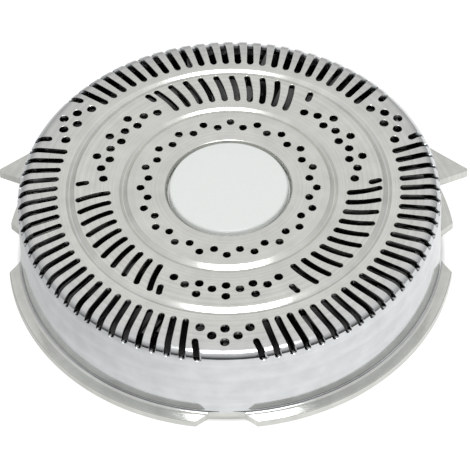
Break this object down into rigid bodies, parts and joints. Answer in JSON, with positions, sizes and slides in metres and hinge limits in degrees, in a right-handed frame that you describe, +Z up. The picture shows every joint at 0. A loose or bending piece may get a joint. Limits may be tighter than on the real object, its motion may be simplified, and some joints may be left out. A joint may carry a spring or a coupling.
{
  "type": "rotary shaver head",
  "caption": "Round steel shaving head with slotted and perforated tracks, a notched flange and a spinning cutter inside.",
  "frame": {"origin": "centre of the flange's underside, on the cutter's axis", "axes": "+Z up the cutter's axis to the shaving face, -Y to the notch in the front of the flange, X through the two tabs"},
  "size_m": [0.0278, 0.0255, 0.006],
  "materials": {
    "cap_steel": "satin tracks, polished wall",
    "disc_plastic": "smooth, slightly glossy",
    "cutter_steel": "ground",
    "spring_steel": "bright rolled strip",
    "hub_plastic": "matt moulded"
  },
  "bodies": {
    "cap": {"shaving_cap": "cap_steel", "centre_disc": "disc_plastic"},
    "cutter_unit": {"cutter": "cutter_steel", "drive_hub": "hub_plastic"},
    "lifters": {"lifter_ring": "spring_steel"}
  },
  "joints": [
    {"name": "cutter_spin", "type": "hinge", "parent": "cap", "child": "cutter_unit", "pos_m": [0, 0, 0.003], "axis": [0, 0, 1], "continuous": true},
    {"name": "lifter_float", "type": "slide", "parent": "cutter_unit", "child": "lifters", "axis": [0, 0, -1], "range_m": [0, 0.0001], "stiffness_N_per_m": 200}
  ]
}
